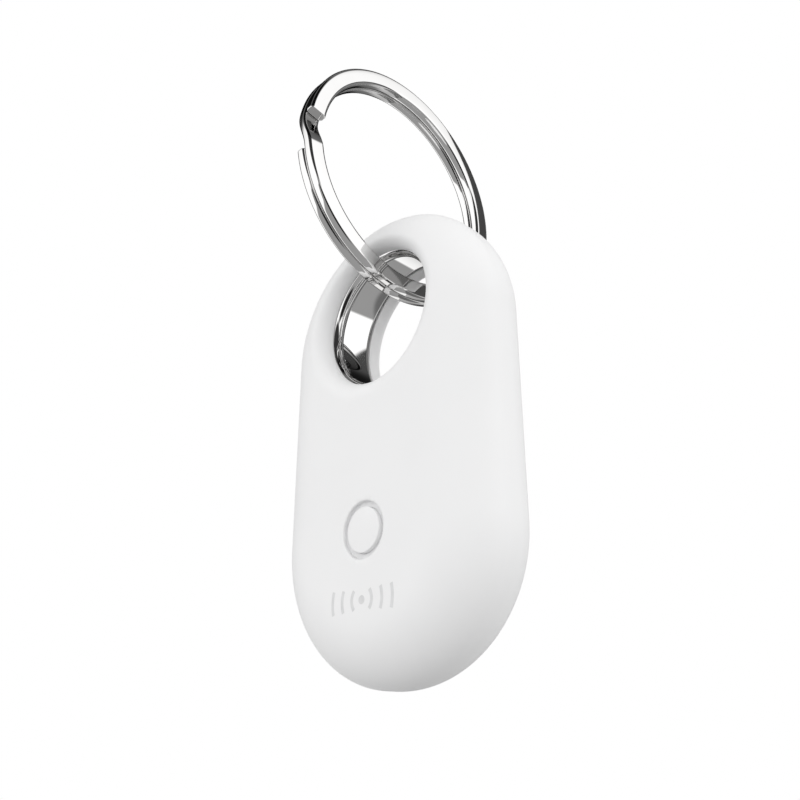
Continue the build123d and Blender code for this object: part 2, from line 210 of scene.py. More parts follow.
def piece(name, form, body, slot, replaces=(), cuts=(), joins=(), sharp=35.0, even=True):
    """A finished piece of the object: shaped, smoothed, coloured and riding on its CAD body."""
    thing = solid(name, form)
    combine(thing, "UNION", joins)
    combine(thing, "DIFFERENCE", cuts)
    mesh = thing.data
    mesh.polygons.foreach_set("use_smooth", [True] * len(mesh.polygons))
    mesh.set_sharp_from_angle(angle=math.radians(sharp))
    mesh.materials.clear()
    mesh.materials.append(finish_of(slot))
    if even:
        normals = thing.modifiers.new("normals", "WEIGHTED_NORMAL")
        normals.keep_sharp = True
    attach(thing, body)
    if replaces:
        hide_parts(*replaces)
    return thing


def grid(rows, close_rows=True):
    """Quads over rows of points, each row closed on itself; the last row may join the first."""
    rows = np.asarray(rows)
    count, around = rows.shape[:2]
    faces = []
    for i in range(count if close_rows else count - 1):
        below = (i + 1) % count
        for j in range(around):
            right = (j + 1) % around
            faces.append((i * around + j, below * around + j, below * around + right, i * around + right))
    return rows.reshape(-1, 3), faces


def rounded(corners, steps=6):
    """A closed line through corners (x, y, radius), with an arc of that radius at each."""
    line = []
    for index, (x, y, radius) in enumerate(corners):
        corner = np.array((x, y), float)
        if radius <= 0:
            line.append(corner)
            continue
        to_last = np.array(corners[index - 1][:2], float) - corner
        to_next = np.array(corners[(index + 1) % len(corners)][:2], float) - corner
        to_last, to_next = to_last / np.linalg.norm(to_last), to_next / np.linalg.norm(to_next)
        half = math.acos(np.clip(to_last @ to_next, -1, 1)) / 2
        middle = corner + (to_last + to_next) / np.linalg.norm(to_last + to_next) * radius / math.sin(half)
        start = corner + to_last * radius / math.tan(half) - middle
        finish = corner + to_next * radius / math.tan(half) - middle
        turn = math.atan2(start[0] * finish[1] - start[1] * finish[0], start @ finish)
        for step in range(steps + 1):
            cosine, sine = math.cos(turn * step / steps), math.sin(turn * step / steps)
            line.append(middle + (cosine * start[0] - sine * start[1], sine * start[0] + cosine * start[1]))
    return line


def turned(profile, centre=0.0, around=AROUND):
    """A profile of (radius, y) points turned about an axis along Y; points on the axis close the form."""
    angles = np.linspace(0, 2 * math.pi, around, endpoint=False)
    points, rows = [], []
    for radius, y in profile:
        start = len(points)
        if radius < 1e-6:
            points.append((0.0, y, centre))
            rows.append([start] * around)
        else:
            points += [(radius * math.cos(a), y, centre + radius * math.sin(a)) for a in angles]
            rows.append(list(range(start, start + around)))
    closed = profile[0][0] >= 1e-6 or profile[-1][0] >= 1e-6
    faces = []
    for i in range(len(rows) if closed else len(rows) - 1):
        here, there = rows[i], rows[(i + 1) % len(rows)]
        for j in range(around):
            k = (j + 1) % around
            face = tuple(dict.fromkeys((here[j], there[j], there[k], here[k])))
            if len(face) > 2:
                faces.append(face)
    return points, faces


def prism(levels):
    """A closed form lofted through outlines: levels are (points in X and Z, y)."""
    rows = [[(x, y, z) for x, z in outline] for outline, y in levels]
    points, faces = grid(rows, close_rows=False)
    around = len(rows[0])
    last = len(points) - around
    faces.append(tuple(range(around))[::-1])
    faces.append(tuple(range(last, last + around)))
    return points, faces


def sector(inner, outer, middle, half_angle, centre, steps=16):
    """The outline of a piece of a ring, seen from the front, between two radii about a centre."""
    turns = [math.radians(middle + half_angle * (2 * step / steps - 1)) for step in range(steps + 1)]
    near = [(inner * math.cos(t), centre + inner * math.sin(t)) for t in turns]
    far = [(outer * math.cos(t), centre + outer * math.sin(t)) for t in turns]
    return near + far[::-1]


def round_outline(radius, centre, steps=48, sideways=0.0):
    """The outline of a disc."""
    turns = np.linspace(0, 2 * math.pi, steps, endpoint=False)
    return [(sideways + radius * math.cos(t), centre + radius * math.sin(t)) for t in turns]


def together(forms):
    """Several forms as one, which don't touch each other."""
    points, faces = [], []
    for more_points, more_faces in forms:
        faces += [tuple(index + len(points) for index in face) for face in more_faces]
        points += [tuple(point) for point in more_points]
    return points, faces


def stadium(length, width, centre, steps=24):
    """The outline of a slot along X."""
    line = []
    for side in (1, -1):
        for step in range(steps + 1):
            turn = math.pi * (step / steps - 0.5)
            x = side * ((length - width) / 2 + width / 2 * math.cos(turn))
            line.append((x, centre + side * width / 2 * math.sin(turn)))
    return line


# ---- materials --------------------------------------------------------------------------------------
class Nodes:
    """A material's node tree, with short calls for the nodes that the finishes share."""

    def __init__(self, name):
        self.material = bpy.data.materials.new(name)
        self.material.use_nodes = True
        self.tree = self.material.node_tree
        self.shader = self.tree.nodes["Principled BSDF"]
        self.coordinates = self.tree.nodes.new("ShaderNodeTexCoord").outputs["Object"]

    def link(self, source, target):
        self.tree.links.new(source, target)

    def mapped(self, stretch=(1, 1, 1)):
        """Object coordinates in millimetres, stretched by a factor on each axis."""
        node = self.tree.nodes.new("ShaderNodeMapping")
        node.inputs["Scale"].default_value = [s / MM for s in stretch]
        self.link(self.coordinates, node.inputs["Vector"])
        return node.outputs["Vector"]

    def noise(self, size, detail=3.0, stretch=(1, 1, 1)):
        """Noise whose features are about size millimetres across."""
        node = self.tree.nodes.new("ShaderNodeTexNoise")
        self.link(self.mapped(stretch), node.inputs["Vector"])
        node.inputs["Scale"].default_value = 1 / size
        node.inputs["Detail"].default_value = detail
        return node.outputs["Fac"]

    def colours(self, source, low, high, colours):
        """The base colour from a ramp of colours, over a stretch of the source."""
        node = self.tree.nodes.new("ShaderNodeValToRGB")
        elements = node.color_ramp.elements
        for index, colour in enumerate(colours):
            element = elements[index] if index < 2 else elements.new(1.0)
            element.position = low + (high - low) * index / (len(colours) - 1)
            element.color = (*colour, 1)
        self.link(source, node.inputs["Fac"])
        self.link(node.outputs["Color"], self.shader.inputs["Base Color"])

    def roughness(self, source, low, high):
        """Roughness between two values, as the source goes over its middle stretch."""
        node = self.tree.nodes.new("ShaderNodeMapRange")
        node.inputs["From Min"].default_value = 0.3
        node.inputs["From Max"].default_value = 0.7
        node.inputs["To Min"].default_value = low
        node.inputs["To Max"].default_value = high
        self.link(source, node.inputs["Value"])
        self.link(node.outputs["Result"], self.shader.inputs["Roughness"])

    def relief(self, source, strength, height):
        """Fine relief, with its height in millimetres."""
        node = self.tree.nodes.new("ShaderNodeBump")
        node.inputs["Strength"].default_value = strength
        node.inputs["Distance"].default_value = height * MM
        self.link(source, node.inputs["Height"])
        self.link(node.outputs["Normal"], self.shader.inputs["Normal"])


def shade(colour, factor):
    return tuple(min(1.0, c * factor) for c in colour)


def moulded(name, colour, roughness, specular=0.5, grain=0.12, relief=0.004):
    """Moulded plastic: an even colour with faint cloudiness, and the fine spark texture of its tool."""
    nodes = Nodes(name)
    nodes.shader.inputs["Specular IOR Level"].default_value = specular
    nodes.colours(nodes.noise(9.0, 2.0), 0.3, 0.7, (shade(colour, 0.985), colour))
    fine = nodes.noise(grain, 4.0)
    nodes.roughness(fine, roughness - 0.04, roughness + 0.04)
    nodes.relief(fine, 0.25, relief)
    return nodes.material


def polished(name, colour, roughness, haze=0.02, grazing=0.12):
    """Polished plating: mirror-like, darker at grazing angles, with faint haze and handling marks."""
    nodes = Nodes(name)
    nodes.shader.inputs["Metallic"].default_value = 1.0
    nodes.shader.inputs["Specular Tint"].default_value = (grazing, grazing, grazing, 1)
    patches = nodes.noise(4.0, 3.0)
    nodes.colours(patches, 0.35, 0.65, (shade(colour, 0.97), colour))
    nodes.roughness(patches, roughness, roughness + haze)
    nodes.relief(nodes.noise(0.5, 5.0, (1.0, 0.25, 3.0)), 0.08, 0.0006)
    return nodes.material


def rolled(name, colour, roughness, stretch=(1.0, 1.0, 12.0)):
    """Rolled or drawn sheet metal, with grain along one way."""
    nodes = Nodes(name)
    nodes.shader.inputs["Metallic"].default_value = 1.0
    grain = nodes.noise(0.6, 4.0, stretch)
    nodes.colours(grain, 0.3, 0.7, (shade(colour, 0.88), colour))
    nodes.roughness(grain, roughness - 0.06, roughness + 0.08)
    nodes.relief(grain, 0.15, 0.004)
    return nodes.material


def rubbery(name, colour, roughness):
    """Silicone rubber: satin, with a soft low relief."""
    nodes = Nodes(name)
    dust = nodes.noise(0.8, 4.0)
    nodes.colours(dust, 0.3, 0.7, (shade(colour, 0.94), shade(colour, 1.04)))
    nodes.roughness(dust, roughness - 0.05, roughness + 0.06)
    nodes.relief(nodes.noise(0.15, 3.0), 0.2, 0.006)
    return nodes.material


def foam(name, colour):
    """Fine closed-cell foam."""
    nodes = Nodes(name)
    cells = nodes.tree.nodes.new("ShaderNodeTexVoronoi")
    nodes.link(nodes.mapped(), cells.inputs["Vector"])
    cells.inputs["Scale"].default_value = 5.0
    nodes.colours(cells.outputs["Distance"], 0.0, 0.6, (shade(colour, 1.5), colour))
    nodes.shader.inputs["Roughness"].default_value = 0.9
    nodes.relief(cells.outputs["Distance"], 0.6, 0.03)
    return nodes.material


def solder_resist(name, colour):
    """Solder resist over copper: lighter and a little raised where a track runs under it."""
    nodes = Nodes(name)
    tracks = nodes.tree.nodes.new("ShaderNodeTexBrick")
    nodes.link(nodes.mapped(), tracks.inputs["Vector"])
    tracks.inputs["Scale"].default_value = 0.7
    tracks.inputs["Mortar Size"].default_value = 0.06
    tracks.inputs["Color1"].default_value = (*colour, 1)
    tracks.inputs["Color2"].default_value = (*shade(colour, 1.15), 1)
    tracks.inputs["Mortar"].default_value = (*shade(colour, 1.9), 1)
    nodes.link(tracks.outputs["Color"], nodes.shader.inputs["Base Color"])
    nodes.roughness(nodes.noise(0.3, 2.0), 0.25, 0.35)
    nodes.relief(tracks.outputs["Fac"], 0.3, 0.02)
    return nodes.material


WHITE = (0.875, 0.875, 0.877)
FINISHES = {
    "shell_white": (moulded, WHITE, 0.5, 0.25),
    "cover_white": (moulded, WHITE, 0.5, 0.25),
    "button_white": (moulded, WHITE, 0.46, 0.25),
    "membrane_grey": (rubbery, (0.8, 0.8, 0.805), 0.5),
    "sign_ink": (rubbery, (0.7, 0.7, 0.705), 0.5),
    "seal_grey": (rubbery, (0.32, 0.32, 0.33), 0.5),
    "ring_chrome": (polished, (0.84, 0.835, 0.83), 0.02),
    "liner_chrome": (polished, (0.86, 0.855, 0.85), 0.012),
    "spring_steel": (rolled, (0.66, 0.65, 0.63), 0.3),
    "crystal_can": (rolled, (0.74, 0.71, 0.66), 0.32),
    "screw_steel": (rolled, (0.52, 0.52, 0.54), 0.35),
    "cell_steel": (rolled, (0.71, 0.7, 0.68), 0.24),
    "sounder_brass": (rolled, (0.78, 0.6, 0.28), 0.25),
    "board_green": (solder_resist, (0.03, 0.17, 0.08)),
    "chip_black": (moulded, (0.025, 0.025, 0.027), 0.55),
    "carrier_black": (moulded, (0.04, 0.04, 0.042), 0.5),
    "antenna_ceramic": (moulded, (0.82, 0.8, 0.74), 0.4),
    "capacitor_tan": (moulded, (0.42, 0.31, 0.21), 0.45),
    "foam_black": (foam, (0.03, 0.03, 0.032)),
}
made_finishes = {}


def finish_of(slot):
    """The material of a slot, made once."""
    if slot not in made_finishes:
        maker, *values = FINISHES[slot]
        made_finishes[slot] = maker(slot, *values)
    return made_finishes[slot]


# ---- the case's surface -----------------------------------------------------------------------------
def case_outline():
    """Points and outward normals (x, z) of the case's outline, evenly spaced."""
    straight = TOP_CENTRE - CELL_CENTRE
    arc = math.pi * END_RADIUS
    points, normals = [], []
    for index in range(AROUND):
        along = (index + 0.5) / AROUND * 2 * (straight + arc)
        if along < arc:
            turn, centre = along / END_RADIUS, TOP_CENTRE
        elif along < arc + straight:
            turn, centre = math.pi, TOP_CENTRE - (along - arc)
        elif along < 2 * arc + straight:
            turn, centre = math.pi + (along - arc - straight) / END_RADIUS, CELL_CENTRE
        else:
            turn, centre = 0.0, CELL_CENTRE + (along - 2 * arc - straight)
        normals.append((math.cos(turn), math.sin(turn)))
        points.append((END_RADIUS * math.cos(turn), centre + END_RADIUS * math.sin(turn)))
    return np.array(points), np.array(normals)


RIM, OUTWARD = case_outline()


def inset(distance):
    """The outline, drawn a distance inside the case's own."""
    return RIM - OUTWARD * distance


def circle(radius):
    """Points on a circle about the eyelet, one in line with each point of the outline."""
    return RIM / np.linalg.norm(RIM, axis=1, keepdims=True) * radius


def from_edge(points):
    """How far points (x, z) lie inside the case's outline."""
    centre = np.clip(points[..., 1], CELL_CENTRE, TOP_CENTRE)
    return END_RADIUS - np.hypot(points[..., 0], points[..., 1] - centre)


def from_eyelet(points):
    """How far points (x, z) lie from the eyelet's axis."""
    return np.hypot(points[..., 0], points[..., 1])


def quarter(distance, across, deep):
    """The drop of an elliptical round at a distance in from where it ends."""
    share = np.clip((across - distance) / across, 0, 1)
    return deep * (1 - np.sqrt(1 - share**2))


def front_skin(points):
    """The front skin: the outer round and the eyelet's mouth, flowing into each other."""
    outer = quarter(from_edge(points), *FRONT_ROUND)
    inner = quarter(from_eyelet(points) - MOUTH_RADIUS, *MOUTH_ROUND)
    return FRONT + np.sqrt(outer**2 + inner**2)


def rear_skin(points):
    """The back skin, in the same way."""
    outer = quarter(from_edge(points), *REAR_ROUND)
    inner = quarter(from_eyelet(points) - REAR_MOUTH_RADIUS, *REAR_MOUTH_ROUND)
    return REAR - np.sqrt(outer**2 + inner**2)


def cavity_front(points):
    """The inside of the front wall."""
    across_inside, deep_inside = FRONT_ROUND[0] - WALL, FRONT_ROUND[1] - WALL
    return FRONT + WALL + quarter(from_edge(points) - WALL, across_inside, deep_inside)


def level(y):
    """A flat height."""
    return lambda points: np.full(points.shape[:-1], y)


def raised(points, height):
    """Points (x, z) as points in space, at the heights of a skin."""
    return np.stack([points[..., 0], height(points), points[..., 1]], -1)


def across(inner, outer, height, count):
    """Rows of points on a skin from one curve to another, closer together near both."""
    t = np.linspace(0, 1, count)
    steps = (t * t * (3 - 2 * t))[:, None, None]
    return list(raised(inner[None] * (1 - steps) + outer[None] * steps, height))


# ---- front shell ------------------------------------------------------------------------------------
def shell_form():
    """Skin, sides, seam, inner walls and the boss round the eyelet, as one closed form."""
    rows = across(circle(MOUTH_RADIUS), RIM, front_skin, 84)
    rear_start = REAR - REAR_ROUND[1]
    rows += [raised(RIM, level(y)) for y in np.linspace(FRONT + FRONT_ROUND[1], rear_start, 5)[1:]]
    seam = END_RADIUS - SEAM_HALF
    last = math.acos(1 - seam / REAR_ROUND[0])
    for angle in np.linspace(0, last - 0.03, 22)[1:]:
        drop = REAR_ROUND[1] * (1 - math.sin(angle))
        rows.append(raised(inset(REAR_ROUND[0] * (1 - math.cos(angle))), level(REAR - drop)))
    edge = REAR - REAR_ROUND[1] * (1 - math.sin(last))
    # The edge at the seam is broken by a hair, so that the seam reads as a fine line.
    rows.append(raised(inset(seam - 0.03), level(edge - 0.02)))
    rows.append(raised(inset(seam), level(edge - 0.1)))
    rows.append(raised(inset(seam), level(COVER_INSIDE)))
    across_inside, deep_inside = REAR_ROUND[0] - WALL, REAR_ROUND[1] - WALL
    for angle in np.linspace(math.asin((COVER_INSIDE - rear_start) / deep_inside), 0, 12):
        inward = WALL + across_inside * (1 - math.cos(angle))
        rows.append(raised(inset(inward), level(rear_start + deep_inside * math.sin(angle))))
    rows += across(circle(BOSS_OUTER), inset(WALL), cavity_front, 24)[::-1]
    rows.append(raised(circle(BOSS_OUTER), level(BOSS_REAR)))
    rows.append(raised(circle(LINER_OUTER + SLIP), level(BOSS_REAR)))
    rows.append(raised(circle(LINER_OUTER + SLIP), level(LINER_FRONT)))
    rows.append(raised(circle(MOUTH_RADIUS), level(LINER_FRONT)))
    return grid(rows)


def bore_form():
    """The hole for the button, flared where it meets the face."""
    flare = [
        (BUTTON_BORE + BORE_EDGE * (1 - math.sin(turn)), FRONT + BORE_EDGE * (1 - math.cos(turn)))
        for turn in np.linspace(0.25, math.pi / 2, 7)
    ]
    rear = FRONT + WALL + BEYOND
    outside = (BUTTON_BORE + BORE_EDGE, FRONT - BEYOND)
    profile = [(0, FRONT - BEYOND), outside, *flare, (BUTTON_BORE, rear), (0, rear)]
    return turned(profile, CELL_CENTRE, AROUND_BUTTON)


def posts_form():
    """The screws' bosses and the rib that the board rests on, from inside the front wall."""
    outlines = [round_outline(SCREW_BOSS, z, sideways=x) for x, z in SCREW_PLACES]
    half_length, half_width = REST_RIB[0] / 2, REST_RIB[1] / 2
    corners = [(half_length, half_width), (-half_length, half_width)]
    corners += [(-half_length, -half_width), (half_length, -half_width)]
    outlines.append(rounded([(x, REST_RIB[2] + z, RIB_CORNER) for x, z in corners]))
    start = FRONT + WALL - ROOTED
    return together([prism([(outline, start), (outline, BOARD_FRONT)]) for outline in outlines])


def screw_holes_form():
    """The holes down the bosses."""
    outlines = [round_outline(SCREW_HOLE[0], z, sideways=x) for x, z in SCREW_PLACES]
    finish = BOARD_FRONT + BEYOND
    return together([prism([(outline, SCREW_HOLE[1]), (outline, finish)]) for outline in outlines])


piece(
    "shell_skin",
    shell_form(),
    "housing",
    "shell_white",
    ["front_shell"],
    joins=[posts_form()],
    cuts=[bore_form(), screw_holes_form()],
    sharp=30.0,
)


# ---- rear cover -------------------------------------------------------------------------------------
def cover_form():
    """The plate set into the back: skin, edge, gasket groove and the collar behind the liner."""
    half = END_RADIUS - COVER_HALF
    near, far, deep = GASKET_GROOVE
    rows = across(circle(REAR_MOUTH_RADIUS), inset(half + EDGE), rear_skin, 70)
    edge = float(rear_skin(inset(half))[0])
    for turn in np.linspace(0, math.pi / 2, 6)[1:]:
        inward, drop = EDGE * (1 - math.sin(turn)), EDGE * (1 - math.cos(turn))
        rows.append(raised(inset(half + inward), level(edge - drop)))
    rows.append(raised(inset(half), level(COVER_INSIDE)))
    rows.append(raised(inset(half + near), level(COVER_INSIDE)))
    rows.append(raised(inset(half + near), level(COVER_INSIDE + deep)))
    rows.append(raised(inset(half + far), level(COVER_INSIDE + deep)))
    rows.append(raised(inset(half + far), level(COVER_INSIDE)))
    collar_front = LINER_REAR + SLIP
    rows.append(raised(circle(COLLAR_OUTER), level(COVER_INSIDE)))
    rows.append(raised(circle(COLLAR_OUTER), level(collar_front)))
    rows.append(raised(circle(REAR_MOUTH_RADIUS), level(collar_front)))
    return grid(rows)


def recess_form():
    """What the door's place takes out of the cover, with a small round at its edge."""
    edge = float(rear_skin(np.array((DOOR_RECESS, CELL_CENTRE))))
    flare = [
        (DOOR_RECESS + EDGE * (1 - math.cos(turn)), edge - EDGE * (1 - math.sin(turn)))
        for turn in np.linspace(0, math.pi / 2, 7)
    ]
    profile = [
        (0, COVER_INSIDE - BEYOND),
        (LUG_ROOM, COVER_INSIDE - BEYOND),
        (LUG_ROOM, LEDGE[0]),
        (LEDGE_BORE, LEDGE[0]),
        (LEDGE_BORE, LEDGE[1]),
        (DOOR_RECESS, LEDGE[1]),
        *flare,
        (DOOR_RECESS + EDGE, REAR + BEYOND),
        (0, REAR + BEYOND),
    ]
    return turned(profile, CELL_CENTRE)


def notch_form(angle):
    """A gap in the ledge that a lug goes in through."""
    outline = sector(NECK_RADIUS - BEYOND, NOTCH_OUTER, angle, NOTCH_HALF_ANGLE, CELL_CENTRE)
    return prism([(outline, LEDGE[0] - OVERCUT), (outline, LEDGE[1] + OVERCUT)])


def dimple_form(outline, sink):
    """A shallow shape sunk into the back."""
    return prism([(outline, REAR - sink), (outline, REAR + BEYOND)])


notches = [notch_form(angle - UNLOCK_ANGLE) for angle in LUG_ANGLES]
closed_mark = dimple_form(round_outline(CLOSED_MARK[0], CELL_CENTRE + CLOSED_MARK[1]), MARK_SINK)
piece(
    "cover_plate",
    cover_form(),
    "housing",
    "cover_white",
    ["rear_cover"],
    cuts=[recess_form(), *notches, closed_mark],
    sharp=30.0,
)


# ---- battery door -----------------------------------------------------------------------------------
def door_form():
    """The domed disc with its neck, the seal's rebate and the pad's pocket."""
    dome = []
    for radius in np.linspace(0, DOOR_RADIUS - EDGE, 40):
        dome.append((radius, float(rear_skin(np.array((radius, CELL_CENTRE))))))
    edge = float(rear_skin(np.array((DOOR_RADIUS, CELL_CENTRE))))
    corner = [
        (DOOR_RADIUS - EDGE * (1 - math.sin(turn)), edge - EDGE * (1 - math.cos(turn)))
        for turn in np.linspace(0, math.pi / 2, 6)[1:]
    ]
    profile = [
        *dome,
        *corner,
        (DOOR_RADIUS, SEAL_REBATE[1]),
        (SEAL_REBATE[0], SEAL_REBATE[1]),
        (SEAL_REBATE[0], FLANGE_INSIDE),
        (NECK_RADIUS, FLANGE_INSIDE),
        (NECK_RADIUS, DOOR_INSIDE),
        (PAD_POCKET[0], DOOR_INSIDE),
        (PAD_POCKET[0], PAD_POCKET[1]),
        (0, PAD_POCKET[1]),
    ]
    return turned(profile, CELL_CENTRE)


def lug_form(angle):
    """A bayonet lug, from inside the neck outwards."""
    outline = sector(NECK_RADIUS - LUG_ROOT, LUG_RADIUS, angle, LUG_HALF_ANGLE, CELL_CENTRE)
    return prism([(outline, LUG_DEPTHS[0]), (outline, LUG_DEPTHS[1])])


def slot_form():
    """The coin slot, flared at the surface."""
    length, width, deep = COIN_SLOT
    levels = [(stadium(length, width, CELL_CENTRE), REAR - deep)]
    for turn in np.linspace(0, math.pi / 2 - 0.2, 5):
        grow = 2 * EDGE * (1 - math.cos(turn))
        outline = stadium(length + grow, width + grow, CELL_CENTRE)
        levels.append((outline, REAR - EDGE * (1 - math.sin(turn))))
    levels.append((stadium(length + 2 * EDGE, width + 2 * EDGE, CELL_CENTRE), REAR + BEYOND))
    return prism(levels)


pointer = [
    (
        POINTER[0] * math.cos(math.radians(angle)),
        CELL_CENTRE + POINTER[1] + POINTER[0] * math.sin(math.radians(angle)),
    )
    for angle in POINTER_CORNERS
]
piece(
    "door_disc",
    door_form(),
    "cell_door",
    "cover_white",
    ["battery_door"],
    joins=[lug_form(angle) for angle in LUG_ANGLES],
    cuts=[slot_form(), dimple_form(pointer, MARK_SINK)],
    sharp=30.0,
)


# ---- eyelet liner: a sleeve with a rolled bead at the front ------------------------------------------
def liner_form():
    """The bead is a round of the sleeve's own wall; a hollow round joins it to the bore."""
    bead_y = LINER_FRONT + BEAD
    bead_r = LINER_OUTER - BEAD
    meeting = math.acos((bead_r - LINER_BORE + HOLLOW) / (BEAD + HOLLOW))
    bead = [
        (bead_r - BEAD * math.sin(turn), bead_y - BEAD * math.cos(turn))
        for turn in np.linspace(-math.pi / 2, math.pi / 2 + meeting, 48)
    ]
    hollow_y = bead_y + (BEAD + HOLLOW) * math.sin(meeting)
    hollow = [
        (LINER_BORE - HOLLOW + HOLLOW * math.cos(turn), hollow_y - HOLLOW * math.sin(turn))
        for turn in np.linspace(meeting, 0, 20)[1:]
    ]
    rear = rounded(
        [
            (LINER_BORE, hollow_y + SUPPORT, 0),
            (LINER_BORE, LINER_REAR - REAR_FLARE - SUPPORT, 0),
            (LINER_BORE, LINER_REAR, REAR_FLARE),
            (LINER_OUTER, LINER_REAR, 0.05),
            (LINER_OUTER, bead_y + 0.5, 0),
        ]
    )
    return turned(bead + hollow + rear, around=3 * AROUND)


piece("liner_sleeve", liner_form(), "housing", "liner_chrome", ["eyelet_liner"], sharp=40.0)

# ---- button: the cap and the membrane round it ------------------------------------------------------
cap_profile = rounded(
    [(0, FRONT, 0), (CAP_RADIUS, FRONT, 0.1), (CAP_RADIUS, CAP_REAR, 0), (0, CAP_REAR, 0)]
)
cap_form = turned(cap_profile, CELL_CENTRE, AROUND_BUTTON)
piece("button_disc", cap_form, "button", "button_white", ["button_cap"])

SKIRT_REAR = FRONT + 1.6
PLUNGER_RADIUS = 1.0
CAP_GAP = 0.01  # keeps the cap and the membrane's pocket from touching as the cap moves


def membrane_form():
    """The floor of the groove round the cap, the sealing skirt behind it, and the plunger."""
    inner_front = FRONT + WALL
    profile = rounded(
        [
            (0, CAP_REAR + CAP_GAP, 0),
            (CAP_RADIUS + CAP_GAP, CAP_REAR + CAP_GAP, 0),
            (CAP_RADIUS + CAP_GAP, GROOVE_FLOOR, 0.08),
            # the grey lip up the groove's outer wall is painted shade
            (SHADE_LIP[0], GROOVE_FLOOR, 0.1),
            (SHADE_LIP[0], SHADE_LIP[1], 0.02),
            (BUTTON_BORE, SHADE_LIP[1], 0.02),
            (BUTTON_BORE, inner_front, 0),
            (membrane_high[0], inner_front, 0),
            (membrane_high[0], SKIRT_REAR, 0.1),
            (PLUNGER_RADIUS, SKIRT_REAR, 0.1),
            (PLUNGER_RADIUS, membrane_high[1], 0.1),
            (0, membrane_high[1], 0),
        ]
    )
    return turned(profile, CELL_CENTRE, AROUND_BUTTON)


membrane = piece(
    "membrane_skin", membrane_form(), "housing", "membrane_grey", ["button_membrane"], even=False
)
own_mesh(membrane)


# ---- radio-wave sign printed below the button --------------------------------------------------------
SIGN_HEIGHT = CELL_CENTRE - 6.7
SIGN_STROKE = 0.38
SIGN_DOT = 0.42
SIGN_WAVES = ((1.4, 40.0), (2.8, 22.0), (4.2, 15.5))  # radius, and half of the angle that it spans
INK = (FRONT - 0.012, FRONT + 0.03)  # the print stands a hair above the face, and starts inside it


def sign_form():
    """A dot with three waves on each side."""
    outlines = [round_outline(SIGN_DOT, SIGN_HEIGHT)]
    for radius, half_angle in SIGN_WAVES:
        for middle in (0.0, 180.0):
            inner, outer = radius - SIGN_STROKE / 2, radius + SIGN_STROKE / 2
            outlines.append(sector(inner, outer, middle, half_angle, SIGN_HEIGHT))
    return together([prism([(outline, INK[0]), (outline, INK[1])]) for outline in outlines])


# The print isn't a CAD part, so it goes with the slot nearest to it, in an ink of its own.
sign = piece("radio_sign", sign_form(), "housing", "membrane_grey", even=False)
sign.data.materials[0] = finish_of("sign_ink")


# ---- split ring: flat wire, wound twice round, with a joggle between the coils -----------------------
def wire_section(inset_by=0.0, steps=9):
    """The wire's section: (across, outwards) points, drawn an inset inside its own."""
    half_x, half_r = COIL_THICK / 2 - inset_by, RING_WIDE / 2 - inset_by
    corner = WIRE_CORNER - inset_by * 0.6
    corners = [(half_x, half_r), (-half_x, half_r), (-half_x, -half_r), (half_x, -half_r)]
    return rounded([(x, y, corner) for x, y in corners], steps)


def wire_row(angle, inset_by=0.0):
    """The section's points in space, at an angle along the wire."""
    joggle_start = SECOND_END - 360 - JOGGLE_MARGIN
    joggle_end = FIRST_END - 360 + JOGGLE_MARGIN
    along = min(1.0, max(0.0, (joggle_start - angle) / (joggle_start - joggle_end)))
    middle = COIL_MIDDLE * (1 - 2 * along * along * (3 - 2 * along))
    reach = RING_OUTER - RING_WIDE / 2
    turn = math.radians(angle)
    return [
        (middle + x, -(reach + r) * math.sin(turn), RING_CENTRE + (reach + r) * math.cos(turn))
        for x, r in wire_section(inset_by)
    ]


def ring_form():
    """The wire from end to end, with both cut ends a little blunted."""
    last = SECOND_END - 720  # the wire goes round twice, less the gap between its ends
    degrees_per_mm = math.degrees(1 / (RING_OUTER - RING_WIDE / 2))
    blunt = [
        (END_BLUNT * (1 - math.cos(turn)) * degrees_per_mm, END_BLUNT * (1 - math.sin(turn)))
        for turn in np.linspace(0, math.pi / 2, 6)[:-1]
    ]
    first = [wire_row(FIRST_END - along, inset_by) for along, inset_by in blunt]
    final = [wire_row(last + along, inset_by) for along, inset_by in blunt]
    margin = END_BLUNT * degrees_per_mm
    run = np.linspace(FIRST_END - margin, last + margin, ALONG_RING)
    rows = [*first, *[wire_row(angle) for angle in run], *final[::-1]]
    points, faces = grid(rows, close_rows=False)
    size = len(rows[0])
    faces.append(tuple(range(size))[::-1])
    faces.append(tuple(range(len(points) - size, len(points))))
    return points, faces


piece("ring_wire", ring_form(), "key_ring", "ring_chrome", ["split_ring"], sharp=50.0)

# ---- CAD nodes that stay get their finishes ---------------------------------------------------------
slots = {part["node"]: part["material_slot"] for part in frame["record"]["subparts"]}
for node, item in frame["nodes"].items():
    item.data.materials.clear()
    item.data.materials.append(finish_of(slots[node]))

# ---- stage: floor, world and lights -----------------------------------------------------------------
FLOOR_LEVEL = -0.3
FLOOR_RADIUS = 8.0
FLOOR_GREY = 0.35
FADE = (0.35, 0.9)  # the floor fades into the background between these distances, in metres


